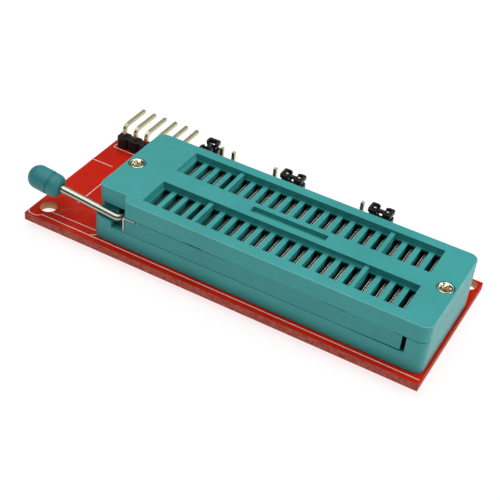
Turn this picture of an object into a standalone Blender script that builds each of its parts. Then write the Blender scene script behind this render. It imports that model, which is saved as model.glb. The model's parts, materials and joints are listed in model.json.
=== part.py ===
"""Socket programming adapter board: a printed board that carries a 40-way lever socket,
a six-pin programming header with turned-back pins, and three jumper headers.

Plan positions are millimetres from the board's front left corner, x to the right and y to
the back. Heights are millimetres above the board's top face. The object stands in metres
with +Z up, and its origin is the centre of the board's underside.
"""
import math

import bmesh
import bpy
from mathutils import Matrix, Vector

MM = 0.001
OVER = 12.0                # a height above every piece, where cutters end

# board
BOARD_L = 79.5
BOARD_W = 31.0
BOARD_T = 1.6
MOUNT_HOLES = ((2.55, 3.95), (77.25, 29.15))
MOUNT_HOLE_R = 1.65
TAIL_HOLE_R = 0.48         # plated holes of the socket's tails
PIN_HOLE_R = 0.56          # plated holes of the headers' pins
TAIL_DROP = 1.5            # how far every soldered tail stands out below the board

# lever socket
SOCKET_X = (14.0, 79.0)
SOCKET_Y = (1.8, 24.5)
STANDOFF = 0.1             # clearance between the stacked pieces
BASE_TOP = 3.5
SLIDER_TOP = 6.8
COVER_BOTTOM = 6.9
SOCKET_TOP = 10.3
CORNER_R = 1.7
CORNER_STEPS = 8
NOSE_X = 19.95             # right end of the cover's narrower left end
NOSE_Y = 3.7               # front face of that narrower end

PITCH = 2.54
WAYS = 20
SLOT_LEFT = 23.47          # left wall of the first slot
SLOT_W = 1.53
CHANNELS_Y = ((4.1, 11.12), (15.3, 22.38))
CHANNEL_X = (23.05, 73.35)
CHANNEL_FLOOR = 8.98
CHANNEL_DRAFT = 0.25       # how far the channels' left end walls lean in towards the floor
SLOT_LEDGE = 0.1           # floor left between a slot's end and its channel's wall
GROOVE_X = (39.95, 54.8)   # shallow groove between the two channels
GROOVE_Y = (12.55, 14.15)
GROOVE_DEPTH = 1.0
TALL_RIB_W = 0.85
TALL_RIB_TOP = 9.82
TALL_RIBS_AFTER = (4, 16)  # the tall ribs follow these slots
UNDERCUT_TOP = 8.5         # the slots' back ends open into a long pocket below this height
UNDERCUT_DEPTH = 1.2
LIP_NOTCH = ((32.5, 0.0), (34.6, 0.14), (36.4, 0.14), (36.8, 0.0))  # x and height in the cover's front lip
LIP_NOTCH_DEPTH = 0.8

CONTACT_LEFT = 24.3        # left face of the first contact
CONTACT_T = 0.44
CONTACT_LEAF_T = 0.1       # each of the two leaves of its upper end
CONTACT_SPLIT = 7.3        # where the leaves part
CONTACT_W = 6.3
CONTACT_TOP = 8.45
CONTACT_BOW = 0.15
TAIL_W = 0.6
TAIL_ROWS_Y = (5.61, 20.85)

# slider and its drive
SLIDER_X = (20.85, 74.6)
SLIDER_RISE = (64.0, 0.2)  # its underside rises by this much from here to the right end
WINDOW_LEFT = 23.2         # left side of the slider's first window
WINDOW_W = 1.6
BAY_X = (20.3, 75.36)      # between the base's two end blocks
TROUGH_X = (18.0, 20.8)    # trough of the lever's shaft
TROUGH_BACK = 23.6
TROUGH_FLOOR = 3.4
PLATE_STEP = (23.15, 6.3)  # right end and height of the step for the wear plate's upper leg
PLATE_LEFT = 20.44
PLATE_T = 0.22
PLATE_TOP = 6.62
LEVER_X = 19.4
LEVER_Z = 5.42
LEVER_Y = 2.65
LEVER_R = 0.72
LEVER_RISE = math.radians(5.6)
LEVER_REACH = 15.7         # shaft axis to the buried end of the arm
LEVER_BEND_R = 1.15
SHAFT_END_Y = 23.3
CAM_R = 0.88
CAM_OFFSET = 0.5
CAM_Y = (6.2, 22.2)
KNOB_R = 2.25
KNOB_L = 6.95
KNOB_END = 19.88           # shaft axis to the knob's outer end
KNOB_GROOVE = 4.75         # ring groove, from the knob's outer end
KNOB_DOME = 2.1            # length of the domed outer end
KNOB_CLEARANCE = 0.1       # between the rod and its bore

# rivets
RIVETS = (("left", 15.95), ("right", 76.98))
RIVET_Y = 13.12
RIVET_HEAD_R = 1.5
RIVET_HOLE_R = 0.95
RIVET_SEAT_R = 1.65        # counterbore in the cover
RIVET_SEAT_DEPTH = 0.65
RIVET_TOP = 10.27
RIVET_FOOT_R = 1.65        # counterbore under the base
RIVET_FOOT_DEPTH = 0.7
PETALS = 6

# headers
PIN = 0.64
PIN_BEND_R = 1.3
HOUSING_H = 2.54
HOUSING_D = 2.4
HOUSING_CUT = 0.42
ICSP_WAYS = 6
JUMPER_WAYS = 3
ICSP_FIRST_X = 2.57
ICSP_Y = 29.2
ICSP_PIN_Z = 4.8
ICSP_TIP_Y = 36.3
JUMPER_FIRST_X = (22.3, 36.45, 54.68)
JUMPER_Y = 29.25
PIN_TOP = 8.54
CAP_L = 4.55
CAP_W = 2.5
CAP_H = 5.85
CAP_CUT = 0.22
CAP_SEAT = 0.2             # gap between a pushed-down cap and its header's housing
CAP_LIFT = (0.55, 0, 0)    # how much higher than that each cap sits
PARKED_SHIFT = (0.42, 0.05)  # play of the parked cap on its one pin
CLIP_T = 0.12
CLIP_W = 0.36

COLORS = {
    "board": ((0.62, 0.035, 0.012), 0.42, 0.0),
    "socket": ((0.065, 0.38, 0.37), 0.40, 0.0),
    "knob": ((0.045, 0.25, 0.28), 0.45, 0.0),
    "steel": ((0.70, 0.70, 0.66), 0.25, 1.0),
    "brass": ((0.78, 0.72, 0.52), 0.28, 1.0),
    "contact": ((0.72, 0.74, 0.72), 0.30, 1.0),
    "header": ((0.012, 0.012, 0.012), 0.50, 0.0),
    "cap": ((0.014, 0.014, 0.014), 0.45, 0.0),
}


# ---------------------------------------------------------------- helpers
def clear_scene():
    for obj in list(bpy.data.objects):
        bpy.data.objects.remove(obj, do_unlink=True)
    for mesh in list(bpy.data.meshes):
        bpy.data.meshes.remove(mesh)


def collection(name):
    col = bpy.data.collections.new(name)
    bpy.context.scene.collection.children.link(col)
    return col


def material(key, name=None):
    name = name or key
    if name in bpy.data.materials:
        return bpy.data.materials[name]
    color, rough, metal = COLORS[key]
    mat = bpy.data.materials.new(name)
    mat.use_nodes = True
    shader = mat.node_tree.nodes["Principled BSDF"]
    shader.inputs["Base Color"].default_value = (*color, 1.0)
    shader.inputs["Roughness"].default_value = rough
    shader.inputs["Metallic"].default_value = metal
    mat.diffuse_color = (*color, 1.0)
    return mat


def place(x, y, z):
    """A point of the plan, in metres in the object's frame."""
    return Vector(((x - BOARD_L / 2) * MM, (y - BOARD_W / 2) * MM, (z + BOARD_T) * MM))


def make(name, bm, key=None, origin=(0.0, 0.0, 0.0), smooth=False):
    """A named object from a mesh drawn in plan millimetres, its origin at a plan point."""
    for vert in bm.verts:
        vert.co = place(*vert.co) - Vector(origin)
    bmesh.ops.recalc_face_normals(bm, faces=bm.faces)
    mesh = bpy.data.meshes.new(name)
    bm.to_mesh(mesh)
    bm.free()
    obj = bpy.data.objects.new(name, mesh)
    obj.location = origin
    if key:
        mesh.materials.append(material(key, name + "_material"))
        parts.objects.link(obj)
    else:
        obj.hide_render = True
        obj.display_type = "WIRE"
        cutters.objects.link(obj)
    if smooth:
        mesh.shade_smooth()
        mesh.set_sharp_from_angle(angle=math.radians(35))
    return obj


def add_box(bm, x, y, z):
    center = Vector((sum(x) / 2, sum(y) / 2, sum(z) / 2))
    size = Vector((x[1] - x[0], y[1] - y[0], z[1] - z[0]))
    return bmesh.ops.create_cube(bm, size=1.0, matrix=Matrix.LocRotScale(center, None, size))["verts"]


def add_cylinder(bm, x, y, z, radius, segments):
    middle = Matrix.Translation((x, y, sum(z) / 2))
    bmesh.ops.create_cone(bm, cap_ends=True, segments=segments, radius1=radius, radius2=radius,
                          depth=z[1] - z[0], matrix=middle)


def add_outline(bm, points, axis, start, end):
    """A flat outline drawn through the other two axes and pulled along one axis."""
    def spot(a, b):
        return {"x": (start, a, b), "y": (a, start, b), "z": (a, b, start)}[axis]
    face = bm.faces.new([bm.verts.new(spot(a, b)) for a, b in points])
    pulled = bmesh.ops.extrude_face_region(bm, geom=[face])["geom"]
    step = {"x": (end - start, 0, 0), "y": (0, end - start, 0), "z": (0, 0, end - start)}[axis]
    bmesh.ops.translate(bm, vec=step, verts=[v for v in pulled if isinstance(v, bmesh.types.BMVert)])


def arc(cx, cy, radius, start, end, steps):
    return [(cx + radius * math.cos(math.radians(start + (end - start) * i / steps)),
             cy + radius * math.sin(math.radians(start + (end - start) * i / steps)))
            for i in range(steps + 1)]


def boolean(obj, other, operation="DIFFERENCE"):
    mod = obj.modifiers.new(operation.title(), "BOOLEAN")
    mod.operation = operation
    mod.object = other
    mod.solver = "EXACT"


def contact_x(index):
    return CONTACT_LEFT + CONTACT_T / 2 + PITCH * index


# ---------------------------------------------------------------- board
def build_board():
    bm = bmesh.new()
    add_box(bm, (0, BOARD_L), (0, BOARD_W), (-BOARD_T, 0))
    board = make("pcb", bm, "board")

    bm = bmesh.new()
    drill = (-BOARD_T - 1, 1)
    for x, y in MOUNT_HOLES:
        add_cylinder(bm, x, y, drill, MOUNT_HOLE_R, 32)
    for i in range(WAYS):
        for y in TAIL_ROWS_Y:
            add_cylinder(bm, contact_x(i), y, drill, TAIL_HOLE_R, 8)
    for i in range(ICSP_WAYS):
        add_cylinder(bm, ICSP_FIRST_X + PITCH * i, ICSP_Y, drill, PIN_HOLE_R, 8)
    for first in JUMPER_FIRST_X:
        for i in range(JUMPER_WAYS):
            add_cylinder(bm, first + PITCH * i, JUMPER_Y, drill, PIN_HOLE_R, 8)
    boolean(board, make("board_holes", bm))


# ---------------------------------------------------------------- socket body
def rounded_outline(x, y, radius):
    """A rectangle with round corners, from the front left one round to the back left one."""
    corners = ((x[0] + radius, y[0] + radius, 180), (x[1] - radius, y[0] + radius, 270),
               (x[1] - radius, y[1] - radius, 0), (x[0] + radius, y[1] - radius, 90))
    points = []
    for cx, cy, turn in corners:
        points += arc(cx, cy, radius, turn, turn + 90, CORNER_STEPS)
    return points


def slot_boxes(width, length, left, z):
    """One box through every slot position of both rows."""
    bm = bmesh.new()
    for row in CHANNELS_Y:
        middle = sum(row) / 2
        for i in range(WAYS):
            start = left + PITCH * i
            add_box(bm, (start, start + width), (middle - length / 2, middle + length / 2), z)
    return bm


def build_base():
    bm = bmesh.new()
    add_outline(bm, rounded_outline(SOCKET_X, SOCKET_Y, CORNER_R), "z", STANDOFF, SLIDER_TOP)
    base = make("socket_base", bm, "socket")

    # the bay between the two end blocks, where the slider runs
    bm = bmesh.new()
    add_box(bm, BAY_X, (0, BOARD_W), (BASE_TOP, OVER))
    boolean(base, make("slider_bay", bm))
    # the trough of the lever shaft
    bm = bmesh.new()
    add_box(bm, TROUGH_X, (0, TROUGH_BACK), (TROUGH_FLOOR, OVER))
    boolean(base, make("shaft_trough", bm))
    # the ledge under the lever arm, which slopes down towards the shaft
    left = SOCKET_X[0]
    ledge_back, ledge_left_z, ledge_right_z = 4.3, 5.16, 4.56
    bm = bmesh.new()
    add_outline(bm, [(left, ledge_left_z), (TROUGH_X[0], ledge_right_z), (TROUGH_X[0], OVER),
                     (left - 1, OVER), (left - 1, ledge_left_z)], "y", 0.0, ledge_back)
    boolean(base, make("ledge_cut", bm))
    # the block behind the ledge has a cut front corner
    corner_x, corner_y = 0.4, 5.3
    bm = bmesh.new()
    add_outline(bm, [(left - 1, ledge_back - 0.1), (left + 1, ledge_back - 0.1), (left + 1, ledge_back),
                     (left + corner_x, ledge_back + 0.35), (left, corner_y), (left - 1, corner_y)],
                "z", ledge_left_z, OVER)
    boolean(base, make("ledge_corner", bm))
    # a clearance slot for every contact, through the floor
    slot_w, slot_l = 0.7, 6.8
    slot_left = CONTACT_LEFT + CONTACT_T / 2 - slot_w / 2
    boolean(base, make("base_slots", slot_boxes(slot_w, slot_l, slot_left, (-1, BASE_TOP + 1))))
    bm = bmesh.new()
    for _, x in RIVETS:
        add_cylinder(bm, x, RIVET_Y, (-1, OVER), RIVET_HOLE_R, 20)
    boolean(base, make("base_rivet_holes", bm))
    bm = bmesh.new()
    for _, x in RIVETS:
        add_cylinder(bm, x, RIVET_Y, (-1, RIVET_FOOT_DEPTH), RIVET_FOOT_R, 20)
    boolean(base, make("base_rivet_seats", bm))


def build_slider():
    bm = bmesh.new()
    add_box(bm, SLIDER_X, SOCKET_Y, (BASE_TOP + STANDOFF, SLIDER_TOP))
    slider = make("slider", bm, "socket")
    # a step for the wear plate's upper leg
    step_right, step_z = PLATE_STEP
    bm = bmesh.new()
    add_box(bm, (SLIDER_X[0] - 1, step_right), (0, BOARD_W), (step_z, OVER))
    boolean(slider, make("plate_step", bm))
    rise_start, rise = SLIDER_RISE
    bottom = BASE_TOP + STANDOFF
    bm = bmesh.new()
    add_outline(bm, [(rise_start, bottom), (rise_start, bottom - 1), (SLIDER_X[1] + 1, bottom - 1),
                     (SLIDER_X[1] + 1, bottom + rise), (SLIDER_X[1], bottom + rise)], "y", 0.0, BOARD_W)
    boolean(slider, make("slider_rise", bm))
    # a window round every contact, wider on the left, where the chip's leg comes down
    boolean(slider, make("slider_windows", slot_boxes(WINDOW_W, CONTACT_W + 0.6, WINDOW_LEFT, (0, OVER))))


def build_wear_plate():
    """A bent strip: one leg faces the cam, the other lies in the slider's step."""
    left, right = PLATE_LEFT, PLATE_STEP[0] - 0.25
    top, bottom = PLATE_TOP, BASE_TOP + 0.05
    leg_t, corner, end_gap = 0.2, 0.12, 0.05
    points = [(left, bottom), (left + PLATE_T, bottom), (left + PLATE_T, top - leg_t), (right, top - leg_t),
              (right, top), (left + corner, top), (left, top - corner)]
    bm = bmesh.new()
    add_outline(bm, points, "y", SOCKET_Y[0] + end_gap, SOCKET_Y[1] - end_gap)
    make("wear_plate", bm, "steel")


def build_cover():
    left, right = SOCKET_X
    front, back = SOCKET_Y
    r, nose_r = CORNER_R, 1.2
    outline = (arc(left + nose_r, NOSE_Y + nose_r, nose_r, 180, 270, CORNER_STEPS) + [(NOSE_X, NOSE_Y)]
               + arc(NOSE_X + r, front + r, r, 180, 270, CORNER_STEPS)
               + arc(right - r, front + r, r, 270, 360, CORNER_STEPS)
               + arc(right - r, back - r, r, 0, 90, CORNER_STEPS)
               + arc(left + r, back - r, r, 90, 180, CORNER_STEPS))
    bm = bmesh.new()
    add_outline(bm, outline, "z", COVER_BOTTOM, SOCKET_TOP)
    cover = make("socket_cover", bm, "socket")

    # two long channels, each crossed by two tall ribs
    start, end = CHANNEL_X
    profile = [(start, SOCKET_TOP), (start + CHANNEL_DRAFT, CHANNEL_FLOOR)]
    for n in TALL_RIBS_AFTER:
        middle = SLOT_LEFT + PITCH * n - (PITCH - SLOT_W) / 2
        left_face, right_face = middle - TALL_RIB_W / 2, middle + TALL_RIB_W / 2
        profile += [(left_face, CHANNEL_FLOOR), (left_face, TALL_RIB_TOP), (right_face, TALL_RIB_TOP),
                    (right_face, CHANNEL_FLOOR)]
    profile += [(end, CHANNEL_FLOOR), (end, OVER), (start, OVER)]
    bm = bmesh.new()
    for row in CHANNELS_Y:
        add_outline(bm, profile, "y", *row)
    boolean(cover, make("channels", bm))
    length = CHANNELS_Y[0][1] - CHANNELS_Y[0][0] - 2 * SLOT_LEDGE
    through = (COVER_BOTTOM - 1, CHANNEL_FLOOR + 0.5)
    boolean(cover, make("cover_slots", slot_boxes(SLOT_W, length, SLOT_LEFT, through)))
    # the pocket behind each row of slots
    slots_right = SLOT_LEFT + PITCH * (WAYS - 1) + SLOT_W
    overlap = 0.5                              # how far the pocket reaches into the slots
    bm = bmesh.new()
    for row in CHANNELS_Y:
        slot_back = row[1] - SLOT_LEDGE
        add_box(bm, (SLOT_LEFT, slots_right), (slot_back - overlap, slot_back + UNDERCUT_DEPTH),
                (COVER_BOTTOM - 1, UNDERCUT_TOP))
    boolean(cover, make("slot_undercuts", bm))
    # a shallow notch in the front lip, where the cover can be prised up
    bm = bmesh.new()
    notch = [(x, COVER_BOTTOM + height) for x, height in LIP_NOTCH]
    notch += [(LIP_NOTCH[-1][0], COVER_BOTTOM - 1), (LIP_NOTCH[0][0], COVER_BOTTOM - 1)]
    add_outline(bm, notch, "y", 0.0, front + LIP_NOTCH_DEPTH)
    boolean(cover, make("lip_notch", bm))
    bm = bmesh.new()
    add_box(bm, GROOVE_X, GROOVE_Y, (SOCKET_TOP - GROOVE_DEPTH, OVER))
    boolean(cover, make("center_groove", bm))
    bm = bmesh.new()
    for _, x in RIVETS:
        add_cylinder(bm, x, RIVET_Y, (SOCKET_TOP - RIVET_SEAT_DEPTH, OVER), RIVET_SEAT_R, 28)
    boolean(cover, make("cover_rivet_seats", bm))
    bm = bmesh.new()
    for _, x in RIVETS:
        add_cylinder(bm, x, RIVET_Y, (COVER_BOTTOM - 1, OVER), RIVET_HOLE_R, 20)
    boolean(cover, make("cover_rivet_holes", bm))


# ---------------------------------------------------------------- contacts
def build_contacts():
    """Forty contacts: a tail through the board, a bowed middle and two straight upper leaves."""
    bow_levels = ((BASE_TOP + 0.1, 0.0), (5.4, -CONTACT_BOW), (7.2, 0.0))
    gap = CONTACT_T - 2 * CONTACT_LEAF_T
    gaps = make("contact_gaps", slot_boxes(gap, CONTACT_W + 1, CONTACT_LEFT + CONTACT_LEAF_T,
                                           (CONTACT_SPLIT, OVER)))
    for row, (channel, tail_y) in enumerate(zip(CHANNELS_Y, TAIL_ROWS_Y)):
        middle = sum(channel) / 2
        half, foot = CONTACT_W / 2, 0.4
        bottom = -BOARD_T - TAIL_DROP
        outline = [(middle - half, foot), (tail_y - TAIL_W / 2, foot), (tail_y - TAIL_W / 2, bottom),
                   (tail_y + TAIL_W / 2, bottom), (tail_y + TAIL_W / 2, foot), (middle + half, foot),
                   (middle + half, CONTACT_TOP), (middle - half, CONTACT_TOP)]
        for i in range(WAYS):
            left = CONTACT_LEFT + PITCH * i
            bm = bmesh.new()
            add_outline(bm, outline, "x", left, left + CONTACT_T)
            for height, _ in bow_levels:
                bmesh.ops.bisect_plane(bm, geom=bm.verts[:] + bm.edges[:] + bm.faces[:], dist=0.0001,
                                       plane_co=(0, 0, height), plane_no=(0, 0, 1))
            for vert in bm.verts:
                for height, shift in bow_levels:
                    if abs(vert.co.z - height) < 0.01:
                        vert.co.x += shift
            name = "contact_%s_%02d" % (("front", "back")[row], i + 1)
            boolean(make(name, bm, "contact"), gaps)


# ---------------------------------------------------------------- lever
def build_lever():
    axis_point = place(LEVER_X, LEVER_Y, LEVER_Z)
    pivot = bpy.data.objects.new("lever_pivot", None)
    pivot.location = axis_point
    parts.objects.link(pivot)

    # the bent rod: a straight arm, a tight bend and the shaft across the socket
    bend_steps = 5
    arm = Vector((-math.cos(LEVER_RISE), 0, math.sin(LEVER_RISE)))
    points = [arm * LEVER_REACH]
    for i in range(bend_steps + 1):
        a = math.radians(90) * i / bend_steps
        sideways = Vector((0, LEVER_BEND_R * (1 - math.cos(a)), 0))
        points.append(arm * (LEVER_BEND_R * (1 - math.sin(a))) + sideways)
    points.append(Vector((0, SHAFT_END_Y - LEVER_Y, 0)))
    curve = bpy.data.curves.new("lever_path", "CURVE")
    curve.dimensions = "3D"
    curve.bevel_depth = LEVER_R * MM
    curve.bevel_resolution = 2
    curve.use_fill_caps = True
    spline = curve.splines.new("POLY")
    spline.points.add(len(points) - 1)
    for spot, point in zip(spline.points, points):
        spot.co = (*(point * MM), 1.0)
    guide = bpy.data.objects.new("lever_guide", curve)
    parts.objects.link(guide)
    bpy.context.view_layer.update()
    evaluated = guide.evaluated_get(bpy.context.evaluated_depsgraph_get())
    mesh = bpy.data.meshes.new_from_object(evaluated)
    bpy.data.objects.remove(guide, do_unlink=True)
    bm = bmesh.new()
    bm.from_mesh(mesh)
    bmesh.ops.remove_doubles(bm, verts=bm.verts, dist=0.00001)
    bmesh.ops.recalc_face_normals(bm, faces=bm.faces)
    bm.to_mesh(mesh)
    bm.free()
    mesh.name = "lever_rod"
    mesh.materials.clear()
    mesh.materials.append(material("steel", "lever_rod_material"))
    mesh.shade_smooth()
    mesh.set_sharp_from_angle(angle=math.radians(35))
    rod = bpy.data.objects.new("lever_rod", mesh)
    rod.parent = pivot
    parts.objects.link(rod)

    # the off-centre cam that pushes the wear plate
    bm = bmesh.new()
    cam_place = Matrix.Translation((LEVER_X, sum(CAM_Y) / 2, LEVER_Z + CAM_OFFSET))
    lay_down = Matrix.Rotation(math.radians(90), 4, "X")
    bmesh.ops.create_cone(bm, cap_ends=True, segments=20, radius1=CAM_R, radius2=CAM_R,
                          depth=CAM_Y[1] - CAM_Y[0], matrix=cam_place @ lay_down)
    boolean(rod, make("cam", bm), "UNION")

    # the knob: a turned body with a ring groove, bored for the rod
    dome_steps, groove_w, groove_depth = 5, 0.28, 0.2
    bore, bore_end = LEVER_R + KNOB_CLEARANCE, KNOB_END - LEVER_REACH - 0.2
    profile = [(0.0, 0.0)]
    for i in range(1, dome_steps + 1):
        a = math.radians(90) * i / dome_steps
        profile.append((KNOB_R * math.sin(a), KNOB_DOME * (1 - math.cos(a))))
    profile += [(KNOB_R, KNOB_GROOVE - groove_w / 2), (KNOB_R - groove_depth, KNOB_GROOVE),
                (KNOB_R - 0.03, KNOB_GROOVE + groove_w / 2)]
    # the round shoulder at the inner end, then the bore
    profile += [(KNOB_R - 0.08, KNOB_L - 1.2), (KNOB_R - 0.35, KNOB_L - 0.55), (KNOB_R - 0.9, KNOB_L - 0.1),
                (KNOB_R - 1.1, KNOB_L), (bore, KNOB_L), (bore, bore_end), (0.0, bore_end)]
    bm = bmesh.new()
    verts = [bm.verts.new((radius * MM, 0, -along * MM)) for radius, along in profile]
    for a, b in zip(verts, verts[1:]):
        bm.edges.new((a, b))
    mesh = bpy.data.meshes.new("lever_knob")
    bm.to_mesh(mesh)
    bm.free()
    mesh.materials.append(material("knob", "lever_knob_material"))
    knob = bpy.data.objects.new("lever_knob", mesh)
    knob.parent = pivot
    knob.location = arm * KNOB_END * MM
    knob.rotation_euler = (0, -math.pi / 2 + LEVER_RISE, 0)
    parts.objects.link(knob)
    screw = knob.modifiers.new("Turn", "SCREW")
    screw.axis = "Z"
    screw.steps = 24
    screw.render_steps = 24
    screw.use_merge_vertices = True
    screw.merge_threshold = 0.00001
    screw.use_smooth_shade = True
    screw.use_normal_calculate = True


# ---------------------------------------------------------------- rivets
def build_rivets():
    top = RIVET_TOP
    profile = [(0.45, 0.2), (1.45, 0.2), (1.45, 0.5), (0.85, 0.6), (0.85, top - 0.55),
               (RIVET_HEAD_R - 0.1, top - 0.45), (RIVET_HEAD_R, top - 0.3), (RIVET_HEAD_R - 0.15, top - 0.1),
               (RIVET_HEAD_R - 0.5, top), (0.75, top - 0.1), (0.45, top - 0.5)]
    for side, x in RIVETS:
        bm = bmesh.new()
        verts = [bm.verts.new((radius * MM, 0, z * MM)) for radius, z in reversed(profile)]
        for a, b in zip(verts, verts[1:] + verts[:1]):
            bm.edges.new((a, b))
        mesh = bpy.data.meshes.new("rivet_" + side)
        bm.to_mesh(mesh)
        bm.free()
        mesh.materials.append(material("brass", "rivet_%s_material" % side))
        rivet = bpy.data.objects.new("rivet_" + side, mesh)
        rivet.location = place(x, RIVET_Y, 0)
        parts.objects.link(rivet)
        screw = rivet.modifiers.new("Turn", "SCREW")
        screw.axis = "Z"
        screw.steps = 24
        screw.render_steps = 24
        screw.use_merge_vertices = True
        screw.merge_threshold = 0.00001
        screw.use_normal_calculate = True
        # the splits between the flared petals of the head
        split_w, split_in, split_depth = 0.18, 0.8, 0.35
        bm = bmesh.new()
        for i in range(PETALS):
            box = add_box(bm, (x + split_in, x + RIVET_HEAD_R + 0.5),
                          (RIVET_Y - split_w / 2, RIVET_Y + split_w / 2), (top - split_depth, top + 1))
            bmesh.ops.rotate(bm, verts=box, cent=(x, RIVET_Y, 0),
                             matrix=Matrix.Rotation(math.radians(360 / PETALS * i + 20), 3, "Z"))
        boolean(rivet, make("petal_splits_" + side, bm))


# ---------------------------------------------------------------- headers
def housing_outline(first_x, y, count):
    """Cells in a row, with a V notch between neighbours and cut corners at the ends."""
    half, depth, cut = PITCH / 2, HOUSING_D, HOUSING_CUT
    front = []
    for i in range(count):
        x = first_x + PITCH * i
        front += [(x - half, y - depth / 2 + cut), (x - half + cut, y - depth / 2),
                  (x + half - cut, y - depth / 2)]
    front.append((first_x + PITCH * (count - 1) + half, y - depth / 2 + cut))
    back = [(a, 2 * y - b) for a, b in reversed(front)]
    return front + back


def build_icsp_header():
    bm = bmesh.new()
    add_outline(bm, housing_outline(ICSP_FIRST_X, ICSP_Y, ICSP_WAYS), "z", STANDOFF, HOUSING_H)
    header = make("icsp_header", bm, "header")
    h, r = PIN / 2, PIN_BEND_R
    outer = arc(ICSP_Y - h + r, ICSP_PIN_Z + h - r, r, 180, 90, 4)
    inner = arc(ICSP_Y - h + r, ICSP_PIN_Z + h - r, r - PIN, 90, 180, 4)
    outline = ([(ICSP_Y - h, -BOARD_T - TAIL_DROP)] + outer + [(ICSP_TIP_Y, ICSP_PIN_Z + h),
               (ICSP_TIP_Y, ICSP_PIN_Z - h)] + inner + [(ICSP_Y + h, -BOARD_T - TAIL_DROP)])
    bm = bmesh.new()
    for i in range(ICSP_WAYS):
        x = ICSP_FIRST_X + PITCH * i
        add_outline(bm, outline, "x", x - h, x + h)
    boolean(header, make("icsp_pins", bm), "UNION")


def build_jumper_headers():
    h = PIN / 2
    for n, first in enumerate(JUMPER_FIRST_X):
        bm = bmesh.new()
        add_outline(bm, housing_outline(first, JUMPER_Y, JUMPER_WAYS), "z", STANDOFF, HOUSING_H)
        header = make("jumper_header_%d" % (n + 1), bm, "header")
        bm = bmesh.new()
        for i in range(JUMPER_WAYS):
            x = first + PITCH * i
            add_box(bm, (x - h, x + h), (JUMPER_Y - h, JUMPER_Y + h), (-BOARD_T - TAIL_DROP, PIN_TOP))
        boolean(header, make("jumper_pins_%d" % (n + 1), bm), "UNION")


def rectangle(half_x, half_y):
    return [(-half_x, -half_y), (half_x, -half_y), (half_x, half_y), (-half_x, half_y)]


def cap_block(name, spot, outline, z, key=None, axis="z"):
    """An outline drawn about the cap's middle, pulled along an axis and turned into place."""
    bm = bmesh.new()
    add_outline(bm, outline, axis, *z)
    spin(bm, *spot)
    return make(name, bm, key)


def build_caps():
    """Shunt caps: two open towers joined by a thin web, each with a spring clip inside."""
    shift_x, shift_y = PARKED_SHIFT
    places = ((JUMPER_FIRST_X[0] + shift_x, JUMPER_Y - PITCH / 2 + shift_y, 90),
              (JUMPER_FIRST_X[1] + PITCH * 1.5, JUMPER_Y, 0),
              (JUMPER_FIRST_X[2] + PITCH * 1.5, JUMPER_Y, 0))
    for n, (spot, lift) in enumerate(zip(places, CAP_LIFT), 1):
        build_cap(n, spot, HOUSING_H + CAP_SEAT + lift)
        build_clip(n, spot, HOUSING_H + CAP_SEAT + lift)


def build_cap(n, spot, bottom):
    half_l, half_w, top = CAP_L / 2, CAP_W / 2, bottom + CAP_H
    far = 3.0                                  # past the cap on every side
    # half the outline's front: the thin web, then a tower with a cut outer corner
    web_x, web_y, tower_x, tower_y = 0.58, 0.36, 0.9, 1.0
    right_side = [(web_x, -web_y), (web_x, -tower_y), (tower_x, -tower_y), (tower_x, -half_w),
                  (half_l - CAP_CUT, -half_w), (half_l, -half_w + CAP_CUT)]
    front = [(-a, b) for a, b in reversed(right_side)] + right_side
    outline = front + [(a, -b) for a, b in reversed(front)]
    cap = cap_block("jumper_cap_%d" % n, spot, outline, (bottom, top), "cap")

    # a waist round the cap between its collar and its foot
    waist_x, waist_y, waist_z = 0.3, 0.32, (top - 1.65, top - 0.75)
    waist = cap_block("cap_waist_%d" % n, spot, rectangle(far, far), waist_z)
    core_outline = rectangle(half_l - waist_x, half_w - waist_y)
    boolean(waist, cap_block("cap_core_%d" % n, spot, core_outline, (top - far, top + 1)))
    boolean(cap, waist)
    # the wells that take the pins
    well_x, well_half_x, well_half_y = PITCH / 2 - 0.06, 0.49, 0.78
    for side in (-1, 1):
        well = [(side * well_x + a, b) for a, b in rectangle(well_half_x, well_half_y)]
        boolean(cap, cap_block("cap_well_%d_%d" % (n, side + 2), spot, well, (bottom - 1, top + 1)))
    # a window in each end wall, at the waist
    end_window_half, end_window_z = 0.45, (top - 1.55, top - 0.85)
    boolean(cap, cap_block("cap_end_windows_%d" % n, spot, rectangle(far, end_window_half), end_window_z))
    # the low middle between the towers
    middle_half, middle_depth = 1.0, 0.3
    middle = rectangle(middle_half, well_half_y)
    boolean(cap, cap_block("cap_middle_%d" % n, spot, middle, (top - middle_depth, top + 1)))
    # the window through the web
    window_half, window_z = 0.42, (top - 1.7, top - 0.8)
    boolean(cap, cap_block("cap_window_%d" % n, spot, rectangle(window_half, far), window_z))
    # the clip's passage under the web
    passage_half_y, passage_h = 0.26, 0.8
    passage = rectangle(middle_half, passage_half_y)
    boolean(cap, cap_block("cap_passage_%d" % n, spot, passage, (bottom - 1, bottom + passage_h)))


def build_clip(n, spot, bottom):
    """The U-shaped spring inside a cap, whose legs press on the inner faces of both pins."""
    outer = PITCH / 2 - PIN / 2 - 0.05
    inner = outer - CLIP_T
    low = bottom + 0.3
    high = bottom + 4.0
    outline = [(-outer, low), (outer, low), (outer, high), (inner, high), (inner, low + CLIP_T),
               (-inner, low + CLIP_T), (-inner, high), (-outer, high)]
    cap_block("jumper_clip_%d" % n, spot, outline, (-CLIP_W / 2, CLIP_W / 2), "contact", "y")


def spin(bm, x, y, degrees):
    turn = Matrix.Translation((x, y, 0)) @ Matrix.Rotation(math.radians(degrees), 4, "Z")
    bmesh.ops.transform(bm, matrix=turn, verts=bm.verts)


clear_scene()
parts = collection("programming_adapter")
cutters = collection("cutters")
build_board()
build_base()
build_slider()
build_wear_plate()
build_cover()
build_contacts()
build_lever()
build_rivets()
build_icsp_header()
build_jumper_headers()
build_caps()
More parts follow.
